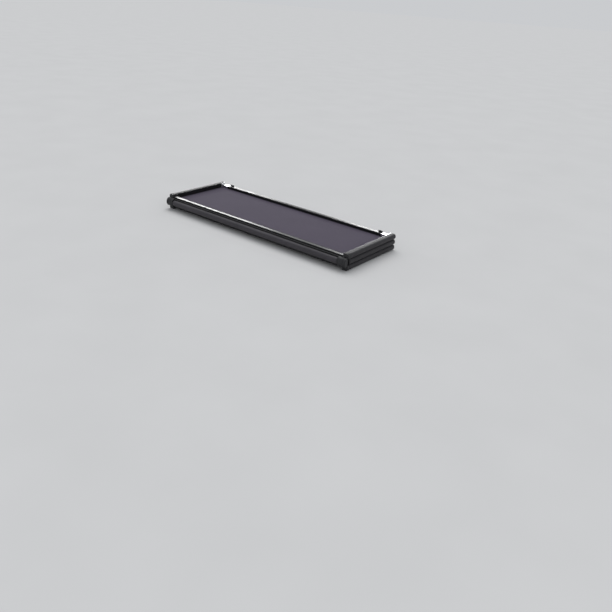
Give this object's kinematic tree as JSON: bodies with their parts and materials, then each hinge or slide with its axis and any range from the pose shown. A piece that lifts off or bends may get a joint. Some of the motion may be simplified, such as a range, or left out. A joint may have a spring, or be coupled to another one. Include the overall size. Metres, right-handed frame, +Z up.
{
  "type": "tonneau cover",
  "caption": "Soft folding cover for a pickup bed: framed fabric panels folded into a stack, joined by a double hinge, with swing-down rail clamps and stow straps.",
  "frame": {"origin": "middle of the folded stack's footprint, on the plane of the front panel's underside, which lies on the bed rails", "axes": "+X across the bed to the truck's right, +Y towards the cab, +Z up"},
  "size_m": [1.7, 0.6004, 0.114],
  "materials": {
    "vinyl_cover": "grained coated cloth, matte, with a dark grey-violet woven backing",
    "vinyl_edge": "grained coated cloth, soft sheen",
    "black_rail": "black powder coat, satin",
    "bright_aluminium": "mill finish, brushed",
    "black_plastic": "moulded, fine grain",
    "rubber_seal": "matte rubber",
    "webbing": "woven webbing",
    "steel": "zinc plated"
  },
  "bodies": {
    "front_panel": {"bulkhead_seal": "rubber_seal", "front_clamp_base_left": "bright_aluminium", "front_clamp_base_right": "bright_aluminium", "front_corner_aft_left": "black_plastic", "front_corner_aft_right": "black_plastic", "front_corner_fore_left": "black_plastic", "front_corner_fore_right": "black_plastic", "front_cross_rail_aft": "black_rail", "front_cross_rail_fore": "black_rail", "front_edge_wrap_left": "vinyl_edge", "front_edge_wrap_right": "vinyl_edge", "front_fabric": "vinyl_cover", "front_side_rail_left": "black_rail", "front_side_rail_right": "black_rail", "stow_buckle_left": "black_plastic", "stow_buckle_right": "black_plastic", "stow_strap_left": "webbing", "stow_strap_right": "webbing"},
    "hinge_link": {"hinge_end_block_left": "black_plastic", "hinge_end_block_right": "black_plastic", "hinge_rod_front": "steel", "hinge_rod_middle": "steel", "hinge_roll": "vinyl_edge", "hinge_spine": "bright_aluminium"},
    "middle_panel": {"middle_corner_aft_left": "bright_aluminium", "middle_corner_aft_right": "bright_aluminium", "middle_corner_fore_left": "black_plastic", "middle_corner_fore_right": "black_plastic", "middle_cross_rail_aft": "black_rail", "middle_cross_rail_fore": "black_rail", "middle_edge_wrap_left": "vinyl_edge", "middle_edge_wrap_right": "vinyl_edge", "middle_fabric": "vinyl_cover", "middle_side_rail_left": "black_rail", "middle_side_rail_right": "black_rail", "rear_clamp_body_left": "black_plastic", "rear_clamp_body_right": "black_plastic", "rear_corner_aft_left": "black_plastic", "rear_corner_aft_right": "black_plastic", "rear_corner_fore_left": "black_plastic", "rear_corner_fore_right": "black_plastic", "rear_cross_rail_aft": "black_rail", "rear_cross_rail_fore": "black_rail", "rear_edge_wrap_left": "vinyl_edge", "rear_edge_wrap_right": "vinyl_edge", "rear_fabric": "vinyl_cover", "rear_hinge_strip": "vinyl_edge", "rear_side_rail_left": "black_rail", "rear_side_rail_right": "black_rail", "tail_seal": "rubber_seal"},
    "front_clamp_arm_left": {"front_clamp_arm_left": "black_plastic"},
    "front_clamp_arm_right": {"front_clamp_arm_right": "black_plastic"},
    "front_clamp_jaw_left": {"front_clamp_jaw_left": "bright_aluminium"},
    "front_clamp_jaw_right": {"front_clamp_jaw_right": "bright_aluminium"},
    "front_clamp_knob_left": {"front_clamp_knob_left": "black_plastic"},
    "front_clamp_knob_right": {"front_clamp_knob_right": "black_plastic"},
    "rear_clamp_jaw_left": {"rear_clamp_jaw_left": "bright_aluminium"},
    "rear_clamp_jaw_right": {"rear_clamp_jaw_right": "bright_aluminium"},
    "rear_clamp_knob_left": {"rear_clamp_knob_left": "black_plastic"},
    "rear_clamp_knob_right": {"rear_clamp_knob_right": "black_plastic"}
  },
  "joints": [
    {"name": "link_fold", "type": "hinge", "parent": "front_panel", "child": "hinge_link", "pos_m": [0, -0.27215, 0.03], "axis": [1, 0, 0], "range_deg": [0, 90]},
    {"name": "panel_fold", "type": "hinge", "parent": "hinge_link", "child": "middle_panel", "pos_m": [0, -0.27215, 0.084], "axis": [1, 0, 0], "range_deg": [0, 90]},
    {"name": "front_clamp_swing_left", "type": "hinge", "parent": "front_panel", "child": "front_clamp_arm_left", "pos_m": [-0.792, 0.18385, 0.02], "axis": [0, 1, 0], "range_deg": [0, 90]},
    {"name": "front_clamp_turn_left", "type": "hinge", "parent": "front_clamp_arm_left", "child": "front_clamp_knob_left", "pos_m": [-0.75, 0.18385, 0.02], "axis": [-1, 0, 0], "range_deg": [0, 1080]},
    {"name": "front_clamp_grip_left", "type": "slide", "parent": "front_clamp_arm_left", "child": "front_clamp_jaw_left", "axis": [-1, 0, 0], "range_m": [0, 0.012]},
    {"name": "rear_clamp_turn_left", "type": "hinge", "parent": "middle_panel", "child": "rear_clamp_knob_left", "pos_m": [-0.75, -0.14115, 0.0585], "axis": [-1, 0, 0], "range_deg": [0, 1080]},
    {"name": "rear_clamp_grip_left", "type": "slide", "parent": "middle_panel", "child": "rear_clamp_jaw_left", "axis": [-1, 0, 0], "range_m": [0, 0.012]},
    {"name": "front_clamp_swing_right", "type": "hinge", "parent": "front_panel", "child": "front_clamp_arm_right", "pos_m": [0.792, 0.18385, 0.02], "axis": [0, -1, 0], "range_deg": [0, 90]},
    {"name": "front_clamp_turn_right", "type": "hinge", "parent": "front_clamp_arm_right", "child": "front_clamp_knob_right", "pos_m": [0.75, 0.18385, 0.02], "axis": [1, 0, 0], "range_deg": [0, 1080]},
    {"name": "front_clamp_grip_right", "type": "slide", "parent": "front_clamp_arm_right", "child": "front_clamp_jaw_right", "axis": [1, 0, 0], "range_m": [0, 0.012]},
    {"name": "rear_clamp_turn_right", "type": "hinge", "parent": "middle_panel", "child": "rear_clamp_knob_right", "pos_m": [0.75, -0.14115, 0.0585], "axis": [1, 0, 0], "range_deg": [0, 1080]},
    {"name": "rear_clamp_grip_right", "type": "slide", "parent": "middle_panel", "child": "rear_clamp_jaw_right", "axis": [1, 0, 0], "range_m": [0, 0.012]}
  ],
  "couplings": [
    {"joint": "panel_fold", "follows": "link_fold", "ratio": 1},
    {"joint": "front_clamp_grip_left", "follows": "front_clamp_turn_left", "m_per_rad": 0.0006366},
    {"joint": "rear_clamp_grip_left", "follows": "rear_clamp_turn_left", "m_per_rad": 0.0006366},
    {"joint": "front_clamp_grip_right", "follows": "front_clamp_turn_right", "m_per_rad": 0.0006366},
    {"joint": "rear_clamp_grip_right", "follows": "rear_clamp_turn_right", "m_per_rad": 0.0006366}
  ]
}
